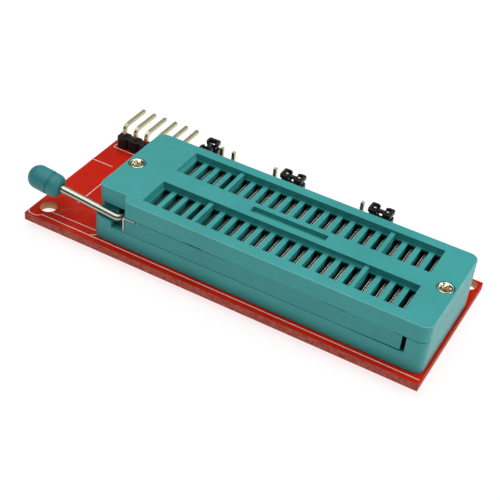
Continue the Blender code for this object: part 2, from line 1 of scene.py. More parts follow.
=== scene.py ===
"""The looks of the socket programming adapter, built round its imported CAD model.

Plan positions (x, y) are millimetres from the board's front left corner and heights are
millimetres above the board's top face, as in the part's own source. spot() turns them into
the frame's metres.
"""

import json
import math
import random

import bmesh
import bpy
from mathutils import Matrix, Vector


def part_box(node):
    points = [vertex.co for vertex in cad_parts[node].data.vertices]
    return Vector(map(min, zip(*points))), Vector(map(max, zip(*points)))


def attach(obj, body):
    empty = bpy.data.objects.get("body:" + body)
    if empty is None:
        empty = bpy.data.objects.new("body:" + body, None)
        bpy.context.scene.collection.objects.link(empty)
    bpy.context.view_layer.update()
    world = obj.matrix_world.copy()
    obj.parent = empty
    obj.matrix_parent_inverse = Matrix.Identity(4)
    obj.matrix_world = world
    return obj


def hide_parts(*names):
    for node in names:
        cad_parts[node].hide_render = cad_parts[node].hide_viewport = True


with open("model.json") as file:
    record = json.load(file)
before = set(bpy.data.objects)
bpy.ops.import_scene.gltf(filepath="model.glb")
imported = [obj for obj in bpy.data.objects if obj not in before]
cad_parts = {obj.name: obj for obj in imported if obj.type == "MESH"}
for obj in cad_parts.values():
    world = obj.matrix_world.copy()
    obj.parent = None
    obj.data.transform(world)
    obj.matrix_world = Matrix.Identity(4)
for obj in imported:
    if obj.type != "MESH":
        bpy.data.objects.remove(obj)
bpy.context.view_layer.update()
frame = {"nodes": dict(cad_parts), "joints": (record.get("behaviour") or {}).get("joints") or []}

MM = 0.001
BOARD_LOW, BOARD_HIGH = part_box("pcb")
BOARD_T = (BOARD_HIGH.z - BOARD_LOW.z) / MM
CONTACT_NAMES = [n for n in frame["nodes"] if n.startswith("contact_")]
CAPS = (1, 2, 3)

PITCH = 2.54
PIN = 0.64
HOUSING_H = 2.54
TAIL_DROP = 1.5
MOUNT_HOLES = ((2.55, 3.95), (77.25, 29.15))
MOUNT_HOLE_R = 1.65


def spot(x, y, z=0.0):
    """A plan position in the frame, in metres."""
    return Vector((BOARD_LOW.x + x * MM, BOARD_LOW.y + y * MM, BOARD_HIGH.z + z * MM))


def plan(point):
    """A point of the frame as plan millimetres."""
    return Vector(((point.x - BOARD_LOW.x) / MM, (point.y - BOARD_LOW.y) / MM, (point.z - BOARD_HIGH.z) / MM))


# ---------------------------------------------------------------- node material helpers
class Tree:
    """A material under construction, with short ways to add and join its nodes."""

    def __init__(self, name):
        self.material = bpy.data.materials.new(name)
        self.material.use_nodes = True
        self.tree = self.material.node_tree
        self.shader = self.tree.nodes["Principled BSDF"]
        self.object_coords = self.node("ShaderNodeTexCoord").outputs["Object"]

    def node(self, kind, values=(), **settings):
        made = self.tree.nodes.new(kind)
        for key, value in settings.items():
            setattr(made, key, value)
        for key, value in dict(values).items():
            self.feed(made.inputs[key], value)
        return made

    def feed(self, socket, value):
        if isinstance(value, bpy.types.NodeSocket):
            self.tree.links.new(value, socket)
        elif isinstance(value, tuple) and len(value) == 3 and socket.type == "RGBA":
            socket.default_value = (*value, 1.0)
        else:
            socket.default_value = value

    def set(self, **values):
        for key, value in values.items():
            self.feed(self.shader.inputs[key.replace("_", " ")], value)

    def stretched(self, scale=(1, 1, 1), turn=(0, 0, 0)):
        values = {"Vector": self.object_coords, "Scale": scale, "Rotation": turn}
        return self.node("ShaderNodeMapping", values).outputs[0]

    def noise(self, scale, detail=3.0, rough=0.55, vector=None):
        place = vector or self.object_coords
        values = {"Vector": place, "Scale": scale, "Detail": detail, "Roughness": rough}
        return self.node("ShaderNodeTexNoise", values).outputs["Fac"]

    def ramp(self, value, low, high, start=0.0, end=1.0):
        """The value's stretch from low to high, turned into start to end."""
        values = {"Value": value, "From Min": low, "From Max": high, "To Min": start, "To Max": end}
        return self.node("ShaderNodeMapRange", values).outputs[0]

    def math(self, operation, a, b=0.0):
        made = self.node("ShaderNodeMath", operation=operation)
        self.feed(made.inputs[0], a)
        self.feed(made.inputs[1], b)
        return made.outputs[0]

    def mix(self, factor, a, b):
        made = self.node("ShaderNodeMix", data_type="RGBA")
        self.feed(made.inputs["Factor"], factor)
        self.feed(made.inputs[6], a)
        self.feed(made.inputs[7], b)
        return made.outputs[2]

    def bump(self, height, distance, strength=1.0, normal=None):
        values = {"Height": height, "Distance": distance, "Strength": strength}
        if normal:
            values["Normal"] = normal
        return self.node("ShaderNodeBump", values).outputs[0]

    def split(self, vector):
        return self.node("ShaderNodeSeparateXYZ", {"Vector": vector}).outputs

    def inside(self, region):
        """1 inside a box of the plan and 0 outside; each side is (millimetres, how far it fades inwards)."""
        coords = self.split(self.object_coords)
        amount = 1.0
        for axis, (low, high) in enumerate(region):
            for (edge, fade), way in ((low, 1), (high, -1)):
                where = spot(edge, edge, edge)[axis]
                rise = self.ramp(coords[axis], where, where + way * max(fade, 0.01) * MM)
                amount = self.math("MINIMUM", amount, rise)
        return amount

    def inside_any(self, regions):
        amount = 0.0
        for region in regions:
            amount = self.math("MAXIMUM", amount, self.inside(region))
        return amount


def scaled(color, factor):
    return tuple(channel * factor for channel in color)


# ---------------------------------------------------------------- materials
def moulded_plastic(name, color, rough=0.42, grain=0.5, scuffs=0.35, specular=0.3, mottle=0.0, hollows=()):
    """Injection-moulded plastic: faint flow mottling, fine grain, dust and light scratches.

    Inside its hollows the colour is darker: painted shade, where little light gets in.
    """
    t = Tree(name)
    flow = t.noise(55, 4, 0.6)
    fine = t.noise(2600, 3, 0.6)
    tone = t.mix(t.ramp(flow, 0.35, 0.65), scaled(color, 0.92), scaled(color, 1.07))
    if mottle:
        tone = t.mix(t.ramp(t.noise(1000, 3, 0.6), 0.38, 0.62, 0.0, mottle), tone, scaled(color, 0.62))
    tone = t.mix(t.ramp(fine, 0.3, 0.7, 0.0, 0.35), tone, scaled(color, 0.84))
    # scratches: thin lines where a stretched noise crosses its middle value
    marks = t.noise(900, 2, 0.5, t.stretched((0.12, 1.6, 1.0), (0, 0, 0.6)))
    lines = t.ramp(t.math("ABSOLUTE", t.math("SUBTRACT", marks, 0.5)), 0.0, 0.006, 1.0, 0.0)
    patches = t.ramp(t.noise(120, 2), 0.55, 0.68)
    scratch = t.math("MULTIPLY", t.math("MULTIPLY", lines, patches), scuffs)
    dust = t.ramp(t.noise(1500, 1, 0.3), 0.74, 0.78, 0.0, 0.5)
    light = tuple(min(1.0, channel * 1.35 + 0.06) for channel in color)
    tone = t.mix(t.math("MAXIMUM", scratch, t.math("MULTIPLY", dust, 0.35)), tone, light)
    # painted shade: the colour is darkened inside the given hollows
    if hollows:
        tone = t.mix(t.inside_any(hollows), tone, scaled(color, 0.09))
    t.set(Base_Color=tone)
    polish = t.ramp(flow, 0.3, 0.7, rough - 0.05, rough + 0.05)
    t.set(Roughness=t.math("ADD", polish, t.math("MULTIPLY", scratch, 0.2)))
    t.shader.inputs["Specular IOR Level"].default_value = specular
    waves = t.bump(t.noise(260, 2, 0.4), 0.00006, 0.35)
    skin = t.bump(fine, 0.000014, grain, waves)
    t.set(Normal=t.bump(scratch, -0.00001, 0.6, skin))
    return t.material


def board_laminate():
    """Red solder mask over a woven glass laminate that shows on the edges and in the holes."""
    t = Tree("board_laminate")
    normal = t.split(t.node("ShaderNodeTexCoord").outputs["Normal"])
    coords = t.split(t.object_coords)
    red = (0.60, 0.016, 0.004)
    pool = t.noise(70, 3, 0.5)
    weave_x = t.noise(700, 2, 0.5, t.stretched((0.15, 1.0, 1.0)))
    weave_y = t.noise(700, 2, 0.5, t.stretched((1.0, 0.15, 1.0)))
    weave = t.math("ADD", weave_x, weave_y)
    mask = t.mix(t.ramp(pool, 0.35, 0.65), scaled(red, 0.82), scaled(red, 1.12))
    mask = t.mix(t.ramp(weave, 0.85, 1.15, 0.0, 0.22), mask, (0.68, 0.028, 0.009))
    mask = t.mix(t.ramp(t.noise(480, 4, 0.65), 0.42, 0.66, 0.0, 0.4), mask, scaled(red, 0.72))
    # a greasy film that handling left at the front left corner
    corner = t.inside((((-1, 0), (20, 9)), ((-1, 0), (16, 9)), ((-0.5, 0), (0.5, 0))))
    film = t.math("MULTIPLY", corner, t.ramp(t.noise(240, 4, 0.7), 0.5, 0.66, 0.0, 0.5))
    mask = t.mix(film, mask, (0.70, 0.085, 0.055))

    # cut edges: layers of glass cloth seen end on, pink where mask ran over them
    layers = t.noise(5200, 2, 0.6, t.stretched((0.10, 0.10, 1.0)))
    fibres = t.noise(2600, 3, 0.7, t.stretched((1.0, 1.0, 0.45)))
    edge = t.mix(t.ramp(layers, 0.35, 0.65), (0.34, 0.034, 0.022), (0.48, 0.11, 0.085))
    edge = t.mix(t.ramp(fibres, 0.45, 0.75, 0.0, 0.5), edge, (0.57, 0.27, 0.21))
    wall = t.mix(t.ramp(layers, 0.3, 0.7), (0.50, 0.22, 0.09), (0.68, 0.40, 0.22))
    near_hole = 0.0
    for x, y in MOUNT_HOLES:
        center = spot(x, y)
        offsets = [t.math("SUBTRACT", coords[axis], center[axis]) for axis in (0, 1)]
        away = t.math("SQRT", t.math("ADD", *(t.math("MULTIPLY", offset, offset) for offset in offsets)))
        near_hole = t.math("MAXIMUM", near_hole, t.math("LESS_THAN", away, (MOUNT_HOLE_R + 0.45) * MM))
    side = t.mix(near_hole, edge, wall)
    upright = t.math("LESS_THAN", t.math("ABSOLUTE", normal[2]), 0.5)
    t.set(Base_Color=t.mix(upright, mask, side))
    gloss = t.ramp(pool, 0.3, 0.7, 0.24, 0.34)
    t.set(Roughness=t.math("MAXIMUM", gloss, t.math("MULTIPLY", upright, 0.75)))
    t.shader.inputs["Specular IOR Level"].default_value = 0.05
    soft = t.bump(weave, 0.000012, 0.5)
    t.set(Normal=t.bump(t.math("MULTIPLY", fibres, upright), 0.00004, 0.8, soft))
    return t.material


def mask_over_copper():
    """Solder mask where it runs over a copper track: a little lighter and smoother."""
    t = Tree("mask_over_copper")
    pool = t.noise(300, 3)
    t.set(Base_Color=t.mix(pool, (0.50, 0.022, 0.008), (0.66, 0.045, 0.016)))
    t.set(Roughness=t.ramp(pool, 0.3, 0.7, 0.2, 0.3))
    t.set(Normal=t.bump(t.noise(1800, 2), 0.00001, 0.4))
    return t.material


def ink():
    """Screen-printed white ink, thin enough for the red to warm it."""
    t = Tree("legend_ink")
    thin = t.noise(2300, 4, 0.7)
    t.set(Base_Color=t.mix(t.ramp(thin, 0.35, 0.7), (0.86, 0.56, 0.50), (0.95, 0.84, 0.79)))
    t.set(Roughness=t.ramp(thin, 0.3, 0.7, 0.5, 0.7))
    t.set(Normal=t.bump(thin, 0.00001, 0.6))
    return t.material


def plated_metal(name, color, rough=0.2, tarnish=(0.3, 0.2, 0.1), amount=0.25, streak=(1, 1, 1), scale=900):
    """Plated metal with fine drawing streaks, uneven polish and light tarnish."""
    t = Tree(name)
    lines = t.noise(scale * 3, 3, 0.6, t.stretched(streak))
    clouds = t.noise(scale * 0.35, 3, 0.6)
    tone = t.mix(t.ramp(lines, 0.3, 0.7, 0.0, 0.35), color, scaled(color, 0.78))
    tone = t.mix(t.ramp(clouds, 0.5, 0.8, 0.0, amount), tone, tarnish)
    t.set(Base_Color=tone, Metallic=1.0)
    polish = t.ramp(clouds, 0.3, 0.7, rough * 0.75, rough * 1.3)
    t.set(Roughness=t.math("ADD", polish, t.ramp(lines, 0.4, 0.8, 0.0, 0.08)))
    t.set(Normal=t.bump(lines, 0.000004, 0.2))
    return t.material


def contact_plate():
    """Tin-plated strip: its upward faces painted light and its sides painted dark, as the light falls from
    above; painted shade in the slot backs, and darker over the front row's left half.
    """
    t = Tree("contact_plate")
    up = t.split(t.node("ShaderNodeTexCoord").outputs["Normal"])[2]
    lines = t.noise(2600, 3, 0.6, t.stretched((1, 1, 0.15)))
    clouds = t.noise(330, 3, 0.6)
    face = t.mix(t.ramp(lines, 0.3, 0.7), (0.10, 0.11, 0.10), (0.06, 0.07, 0.065))
    edge = t.mix(t.ramp(clouds, 0.3, 0.7), (0.72, 0.71, 0.62), (0.54, 0.53, 0.46))
    # painted light and shade: upward faces take the light colour, the sides the dark one
    tone = t.mix(t.ramp(up, 0.4, 0.6), face, edge)
    # the contacts are darker over the front row's left half
    left_front_darkening = t.math("MULTIPLY", t.inside(FRONT_ROW_LEFT_CONTACTS), 0.8)
    # painted shade on the contacts in the slot backs
    tone = t.mix(t.math("MAXIMUM", left_front_darkening, t.inside_any(SLOT_BACKS)), tone, (0.05, 0.05, 0.045))
    t.set(Base_Color=tone, Metallic=0.85)
    t.set(Roughness=t.ramp(clouds, 0.3, 0.7, 0.36, 0.5))
    t.set(Normal=t.bump(lines, 0.000004, 0.2))
    return t.material


def gold_pin():
    """Thin gold over brass: warm and darker near the housing, paler at the tips."""
    t = Tree("gold_flash")
    height = t.split(t.object_coords)[2]
    base = BOARD_HIGH.z + HOUSING_H * MM
    lines = t.noise(2600, 3, 0.6, t.stretched((1, 0.3, 0.3)))
    clouds = t.noise(420, 3, 0.6)
    tone = t.mix(t.ramp(lines, 0.3, 0.7, 0.0, 0.3), (0.52, 0.50, 0.30), (0.40, 0.37, 0.21))
    tone = t.mix(t.ramp(height, base, base + 1.6 * MM, 0.85, 0.0), tone, (0.56, 0.25, 0.13))
    tone = t.mix(t.ramp(clouds, 0.5, 0.75, 0.0, 0.25), tone, (0.36, 0.31, 0.17))
    t.set(Base_Color=tone, Metallic=1.0)
    t.set(Roughness=t.ramp(clouds, 0.3, 0.7, 0.26, 0.4))
    t.set(Normal=t.bump(lines, 0.000004, 0.15))
    return t.material


def solder():
    t = Tree("solder")
    clouds = t.noise(800, 3, 0.6)
    t.set(Base_Color=t.mix(t.ramp(clouds, 0.3, 0.7), (0.60, 0.61, 0.62), (0.82, 0.83, 0.84)), Metallic=1.0)
    t.set(Roughness=t.ramp(clouds, 0.3, 0.7, 0.18, 0.36))
    t.set(Normal=t.bump(t.noise(2500, 3), 0.00002, 0.4))
    return t.material


def floor_paper():
    t = Tree("floor_paper")
    grain = t.noise(900, 3, 0.6)
    t.set(Base_Color=t.mix(t.ramp(grain, 0.3, 0.7), (0.20, 0.20, 0.20), (0.23, 0.23, 0.23)), Roughness=0.9)
    t.set(Normal=t.bump(grain, 0.00002, 0.2))
    t.shader.inputs["Emission Color"].default_value = (1, 1, 1, 1)
    t.shader.inputs["Emission Strength"].default_value = 0.82
    return t.material


TEAL = (0.046, 0.345, 0.335)
# a lighter teal for the cover's rounded outer top edges: a painted highlight
TEAL_EDGE_HIGHLIGHT = (0.120, 0.480, 0.460)
# hollows painted darker as shade, as regions of the plan: ((low x, fade), (high x, fade)), then y, then
# height
SLOT_BACKS = tuple((((23.0, 0), (73.4, 0)), ((back - 2.1, 1.9), (back + 1.4, 0)), ((5.0, 0), (8.94, 0.5)))
                   for back in (11.02, 22.28))
FRONT_ROW_LEFT_CONTACTS = (((23.0, 0), (46.0, 12)), ((4.0, 0), (11.2, 0)), ((5.0, 0), (8.94, 0)))
SLIDER_BAY = (((20.2, 0), (75.5, 0)), ((2.1, 0.3), (24.2, 0.3)), ((3.4, 0), (6.85, 0)))
SLIDER_END = (((74.0, 0.3), (75.5, 0)), ((2.1, 0.3), (24.2, 0.3)), ((3.4, 0), (6.85, 0)))
SHAFT_TROUGH = (((17.9, 0), (20.9, 0)), ((4.7, 0.4), (23.7, 0)), ((3.3, 0), (6.85, 0)))
MATERIALS = {
    "socket": moulded_plastic("socket_plastic", TEAL, 0.38, 0.9, hollows=SLOT_BACKS),
    "socket_base": moulded_plastic("socket_base_plastic", TEAL, 0.38, 0.9,
                                   hollows=(SLIDER_BAY, SHAFT_TROUGH)),
    "socket_edge_highlight": moulded_plastic("socket_plastic_edge_highlight", TEAL_EDGE_HIGHLIGHT, 0.3, 0.2),
    "slider": moulded_plastic("slider_plastic", scaled(TEAL, 0.89), 0.42,
                              hollows=SLOT_BACKS + (SLIDER_END,)),
    "knob": moulded_plastic("knob_plastic", (0.030, 0.232, 0.252), 0.46, 1.6, 0.9, 0.35, 0.35),
    "header": moulded_plastic("header_plastic", (0.010, 0.010, 0.011), 0.50, 0.9, 0.2, 0.25),
    "cap": moulded_plastic("cap_plastic", (0.010, 0.010, 0.011), 0.36, 0.6, 0.4, 0.4),
    "board": board_laminate(),
    "track": mask_over_copper(),
    "ink": ink(),
    "wire": plated_metal("nickel_wire", (0.39, 0.40, 0.33), 0.22, (0.32, 0.31, 0.22), 0.2, (0.05, 1, 1), 500),
    "plate": plated_metal("plated_spring_steel", (0.74, 0.69, 0.63), 0.34, (0.5, 0.42, 0.36), 0.3,
                          (1, 0.2, 1)),
    "rivet": plated_metal("nickel_brass", (0.72, 0.72, 0.60), 0.24, (0.50, 0.44, 0.30), 0.3, (1, 1, 1), 1600),
    "rivet_inside": plated_metal("bare_brass", (0.60, 0.54, 0.38), 0.22, (0.28, 0.18, 0.09), 0.6,
                                 (1, 1, 1), 2400),
    "contact": contact_plate(),
    "gold": gold_pin(),
    "solder": solder(),
}


# ---------------------------------------------------------------- mesh helpers
def piece(name, bm, key, body="board", replaces=(), sharp=40, edge_key=None):
    """A finished piece: mesh drawn in metres in the frame, its material, body and stand-ins."""
    bmesh.ops.recalc_face_normals(bm, faces=bm.faces)
    mesh = bpy.data.meshes.new(name)
    bm.to_mesh(mesh)
    bm.free()
    mesh.materials.append(MATERIALS[key])
    if edge_key:
        mesh.materials.append(MATERIALS[edge_key])
    mesh.shade_smooth()
    mesh.set_sharp_from_angle(angle=math.radians(sharp))
    obj = bpy.data.objects.new(name, mesh)
    bpy.context.scene.collection.objects.link(obj)
    normals = obj.modifiers.new("Normals", "WEIGHTED_NORMAL")
    normals.keep_sharp = True
    normals.weight = 100
    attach(obj, body)
    if replaces:
        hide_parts(*replaces)


def sharp_edges(bm, degrees=30):
    """The outward edges that turn by more than an angle; inward corners stay sharp, as in a mould."""
    limit = math.radians(degrees)
    bm.normal_update()
    return [e for e in bm.edges if len(e.link_faces) == 2 and e.is_convex and e.calc_face_angle(0.0) > limit]


def round_edges(bm, edges, width, segments=2, material=-1):
    bmesh.ops.bevel(bm, geom=edges, offset=width * MM, segments=segments, profile=0.5, affect="EDGES",
                    clamp_overlap=True, material=material)


def refined(node, key, body, width, outer=None, outer_width=0.0, edge_key=None, adjust=None):
    """A finer copy of a CAD solid, its outward edges rounded, the outer ones given a second, lighter
    material: a painted highlight.
    """
    bm = bmesh.new()
    bm.from_mesh(frame["nodes"][node].data)
    bmesh.ops.remove_doubles(bm, verts=bm.verts, dist=0.000001)
    bmesh.ops.dissolve_limit(bm, angle_limit=math.radians(0.5), verts=bm.verts, edges=bm.edges)
    if adjust:
        adjust(bm)
    if outer:
        chosen = [e for e in sharp_edges(bm) if outer(e)]
        # the outer rounded edges take the second material, the painted highlight
        round_edges(bm, chosen, outer_width, 3, 1)
    round_edges(bm, sharp_edges(bm, 50), width)
    piece(node + "_moulding", bm, key, body, (node,), edge_key=edge_key)


def extrude_outline(bm, outline, direction):
    """A closed solid from a flat loop of points, pulled along a direction."""
    face = bm.faces.new([bm.verts.new(p) for p in outline])
    pulled = bmesh.ops.extrude_face_region(bm, geom=[face])["geom"]
    verts = [v for v in pulled if isinstance(v, bmesh.types.BMVert)]
    bmesh.ops.translate(bm, vec=direction, verts=verts)


def turned(bm, profile, center, steps=32):
    """A solid of revolution: (radius, height) pairs in millimetres about a centre point."""
    rings = []
    for radius, height in profile:
        if radius == 0:
            ring = [bm.verts.new(center + Vector((0, 0, height * MM)))]
        else:
            angles = [2 * math.pi * i / steps for i in range(steps)]
            ring = [bm.verts.new(center + Vector((radius * math.cos(a), radius * math.sin(a), height)) * MM)
                    for a in angles]
        rings.append(ring)
    for low, high in zip(rings, rings[1:]):
        for i in range(steps):
            quad = low[i % len(low)], low[(i + 1) % len(low)], high[(i + 1) % len(high)], high[i % len(high)]
            corners = list(dict.fromkeys(quad))
            if len(corners) > 2:
                bm.faces.new(corners)
    return [v for ring in rings for v in ring]


def ribbon(bm, points, width, low, high):
    """A flat strip along plan points, with mitred corners, from one height to another."""
    left, right = [], []
    for i, point in enumerate(points):
        here = Vector(point)
        before = (here - Vector(points[i - 1])).normalized() if i else None
        after = (Vector(points[i + 1]) - here).normalized() if i + 1 < len(points) else None
        along = ((before or after) + (after or before)).normalized()
        across = Vector((-along.y, along.x))
        reach = width / 2 / max(0.35, across.dot(Vector((-(after or before).y, (after or before).x))))
        left.append(here + across * reach)
        right.append(here - across * reach)
    loops = [[bm.verts.new(spot(p.x, p.y, z)) for p in side] for side in (left, right) for z in (low, high)]
    left_low, left_high, right_low, right_high = loops
    around = left_high, right_high, right_low, left_low
    for a, b in zip(around, around[1:] + around[:1]):
        for i in range(len(points) - 1):
            bm.faces.new((a[i], b[i], b[i + 1], a[i + 1]))
    for end in (0, -1):
        bm.faces.new((left_low[end], left_high[end], right_high[end], right_low[end]))


def arc(cx, cy, radius, start, end, steps):
    angles = [math.radians(start + (end - start) * i / steps) for i in range(steps + 1)]
    return [(cx + radius * math.cos(a), cy + radius * math.sin(a)) for a in angles]


# ---------------------------------------------------------------- CAD nodes that stay as they are
def dress_nodes():
    looks = {name: "contact" for name in CONTACT_NAMES + ["jumper_clip_%d" % n for n in CAPS]}
    looks["pcb"] = "board"
    for name, key in looks.items():
        node = frame["nodes"][name]
        node.data.materials.clear()
        node.data.materials.append(MATERIALS[key])


# ---------------------------------------------------------------- board details
def legend():
    """The printed outlines on the board's top face."""
    width, low, high = 0.17, -0.004, 0.012
    headers = [box_round("icsp_header", 27.75)] + [box_round("jumper_header_%d" % n, 27.75) for n in CAPS]
    lines = [
        [(0.16, 1.23), (0.4, 0.72), (0.9, 0.5), (2.3, 0.5), (3.1, 1.27), (14.6, 1.24), (79.2, 1.03)],
        [(4.16, 2.93), (13.9, 3.12)],
        [(13.7, 1.3), (14.7, 2.25)],
        [(0.2, 21.7), (4.73, 21.73)],
        [(6.24, 8.1), (6.24, 15.8)],
    ]
    bm = bmesh.new()
    for line in lines + headers:
        ribbon(bm, line, width, low, high)
    piece("board_legend", bm, "ink")


def box_round(node, front):
    """A printed box round a header, open by a hair where it starts and ends."""
    low, high = (plan(corner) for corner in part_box(node))
    left, right, back = low.x - 0.4, high.x + 0.4, 30.72
    return [(left + 0.05, front), (left, front + 0.05), (left, back), (right, back), (right, front),
            (left + 0.1, front)]


def tail_places():
    """Where every soldered tail comes out of the board, in plan."""
    places = [middle_tail(name).xy for name in CONTACT_NAMES]
    for node in ["icsp_header"] + ["jumper_header_%d" % n for n in CAPS]:
        places += [Vector((x, pin_row_y(node))) for x in pin_row(node)]
    return places


def pin_row(node):
    """Plan x of every pin of a header."""
    low, high = (plan(corner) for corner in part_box(node))
    count = round((high.x - low.x) / PITCH)
    return [low.x + PITCH * (i + 0.5) for i in range(count)]


def tail_corners(node):
    """The corners of a node's tails under the board."""
    return [v.co for v in frame["nodes"][node].data.vertices if v.co.z < BOARD_LOW.z - 0.5 * MM]


def pin_row_y(node):
    """Plan y of a header's pins."""
    corners = tail_corners(node)
    return (sum(corner.y for corner in corners) / len(corners) - BOARD_LOW.y) / MM


def middle_tail(contact):
    """The middle of a contact's tails, in plan."""
    corners = tail_corners(contact)
    return plan(sum(corners, Vector()) / len(corners))


def solder_joints():
    """A pad and a drawn-up cone of solder round every tail under the board."""
    rng = random.Random(4)
    bm = bmesh.new()
    for place in tail_places():
        size = rng.uniform(0.92, 1.06)
        height = rng.uniform(0.85, 1.1)
        base = -BOARD_T
        profile = [(0.0, base + 0.02), (0.98, base + 0.02), (0.98, base - 0.035), (0.86 * size, base - 0.045),
                   (0.80 * size, base - 0.13), (0.66 * size, base - 0.3 * height),
                   (0.52 * size, base - 0.55 * height), (0.44 * size, base - 0.8 * height),
                   (0.36 * size, base - 0.97 * height), (0.0, base - 1.0 * height)]
        turned(bm, profile, spot(place.x, place.y), 20)
    piece("solder_joints", bm, "solder", sharp=60)


def copper_tracks():
    """Tracks under the mask.

    Below, they join the programming header to the socket, the socket's rows, and the jumper pins.
    On top, one curves away from the left mounting hole and three leave the jumper headers.
    """
    low, high = -BOARD_T - 0.022, -BOARD_T + 0.004
    row_front = middle_tail("contact_front_01").y
    row_back = middle_tail("contact_back_01").y
    bm = bmesh.new()
    for i, x in enumerate(pin_row("icsp_header")):
        bus = 22.7 + 0.75 * i
        target = middle_tail("contact_back_%02d" % (2 + 3 * i)).x
        start = pin_row_y("icsp_header")
        ribbon(bm, [(x, start), (x, bus + 0.8), (x + 0.8, bus), (target - 0.8, bus), (target, bus - 0.8),
                    (target, row_back)], 0.36, low, high)
    for i in range(1, 21, 2):
        x = middle_tail("contact_front_%02d" % i).x
        aside = x + PITCH / 2
        ribbon(bm, [(x, row_front), (x, 8.6), (aside, 9.9), (aside, 16.6), (x, 17.9), (x, row_back)],
               0.3, low, high)
    for n in CAPS:
        start, end = pin_row("jumper_header_%d" % n)[1:]
        y = pin_row_y("jumper_header_%d" % n)
        ribbon(bm, [(start, y), (start, 27.9), (start + 0.6, 27.3), (end, 27.3), (end, y)], 0.3, low, high)
    piece("copper_tracks_bottom", bm, "track")
    bm = bmesh.new()
    ribbon(bm, [(5.46, 4.17), (5.75, 4.95), (6.18, 5.65), (6.7, 6.3), (7.23, 6.79), (7.8, 7.1), (8.44, 7.28),
                (13.9, 7.4)], 0.16, -0.004, 0.012)
    for n in CAPS:
        x = pin_row("jumper_header_%d" % n)[0]
        y = pin_row_y("jumper_header_%d" % n)
        ribbon(bm, [(x, y), (x, 26.4), (x - 0.9, 25.5), (x - 0.9, 23.5)], 0.3, -0.004, 0.014)
    piece("copper_tracks_top", bm, "track")


# ---------------------------------------------------------------- socket
def socket_mouldings():
    cover_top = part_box("socket_cover")[1].z

    def cover_outer(edge):
        """The top edges above the cover's outer walls, the only walls of its full height."""
        lowest = min(v.co.z for face in edge.link_faces for v in face.verts)
        return all(abs(v.co.z - cover_top) < 0.01 * MM for v in edge.verts) and cover_top - lowest > 3 * MM

    def arm_relief(bm):
        """Ease the corner beside the lever, so that the raised arm stands clear of it."""
        corner_x, corner_y, ease = (19.9, 20.5), (2.2, 3.6), 0.16
        for vert in bm.verts:
            place = plan(vert.co)
            if corner_x[0] < place.x < corner_x[1] and corner_y[0] < place.y < corner_y[1]:
                vert.co.x += ease * MM

    refined("socket_cover", "socket", "board", 0.03, cover_outer, 0.12, "socket_edge_highlight", arm_relief)
    refined("socket_base", "socket_base", "board", 0.06)
    refined("slider", "slider", "slider", 0.04)
    slider_flash()
    refined("wear_plate", "plate", "slider", 0.03)
    for n in CAPS:
        refined("jumper_cap_%d" % n, "cap", "cap_%d" % n, 0.06)


def slider_flash():
    """Thin moulding flash on the slider's upper edge, which fills the seam along most of its length."""
    low, high = (plan(corner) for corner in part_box("slider"))
    bm = bmesh.new()
    front, root, tip, taper = low.y + 0.01, high.z - 0.03, high.z + 0.085, 0.3
    for start, end in ((41.0, 60.4), (64.6, 73.2)):
        outline = [spot(start, front, root), spot(end, front, root), spot(end - taper, front, tip),
                   spot(start + taper, front, tip)]
        extrude_outline(bm, outline, Vector((0, 0.3 * MM, 0)))
    piece("slider_flash", bm, "slider", "slider")


def rivet(node):
    """A tubular rivet: a rolled rim round a funnel of split petals, its tube, and its foot."""
    rng = random.Random(node)
    low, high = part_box(node)
    center = plan((low + high) / 2)
    top, bottom = plan(high).z, plan(low).z
    petals, phase, wobble = 6, rng.uniform(0, 2 * math.pi), rng.uniform(0.4, 0.8)
    lifts = [rng.uniform(0.06, 0.14) for _ in range(petals)]

    def petal_height(angle):
        turn = petals * angle + phase + wobble * math.sin(angle + phase)
        wave = math.cos(turn)
        split = max(0.0, (-wave - 0.75) / 0.25)
        return lifts[int(turn / (2 * math.pi) + 0.5) % petals] * wave - 0.15 * split

    # the funnel, from its throat out over the rim: radius, height, and how much the petals show there
    funnel = ((0.40, -0.95, 0.2), (0.48, -0.68, 0.6), (0.58, -0.52, 0.9), (0.70, -0.42, 1.0),
              (0.82, -0.35, 1.0), (0.94, -0.29, 0.8), (1.04, -0.23, 0.4), (1.12, -0.16, 0.1),
              (1.19, -0.08, 0.0), (1.27, -0.02, 0.0), (1.36, 0.0, 0.0), (1.42, -0.015, 0.0),
              (1.47, -0.07, 0.0), (1.5, -0.16, 0.0), (1.5, -0.26, 0.0))
    rim_start, throat_depth = 1.19, 1.1
    # the outside: the foot under the base, the tube, and the head's underside
    profile = [(0.40, bottom + 0.02), (1.38, bottom), (1.45, bottom + 0.07), (1.45, bottom + 0.24),
               (1.38, bottom + 0.3), (0.85, bottom + 0.4), (0.85, top - 0.7), (0.9, top - 0.6),
               (1.36, top - 0.58), (1.46, top - 0.42)]
    bm = bmesh.new()
    rings = [(radius, lambda angle, z=z: z) for radius, z in profile]
    rings += [(radius, lambda angle, z=top + drop, show=show: z + show * petal_height(angle))
              for radius, drop, show in reversed(funnel)]
    # it sits a hair to the back left in its seat
    middle = spot(center.x - 0.04, center.y + 0.05)
    ring_solid(bm, rings, middle, 112)
    for face in bm.faces:
        away = face.calc_center_median() - middle
        if away.xy.length < rim_start * MM and away.z > (top - throat_depth) * MM:
            face.material_index = 1
    piece(node + "_flared", bm, "rivet", replaces=(node,), sharp=70, edge_key="rivet_inside")


def ring_solid(bm, rings, center, steps):
    """A closed ring from a loop of (radius, height at an angle) pairs."""
    angles = [2 * math.pi * i / steps for i in range(steps)]
    loops = [[bm.verts.new(center + Vector((radius * math.cos(a), radius * math.sin(a), height(a))) * MM)
              for a in angles] for radius, height in rings]
    for low, high in zip(loops, loops[1:] + loops[:1]):
        for i in range(steps):
            bm.faces.new((low[i], low[(i + 1) % steps], high[(i + 1) % steps], high[i]))


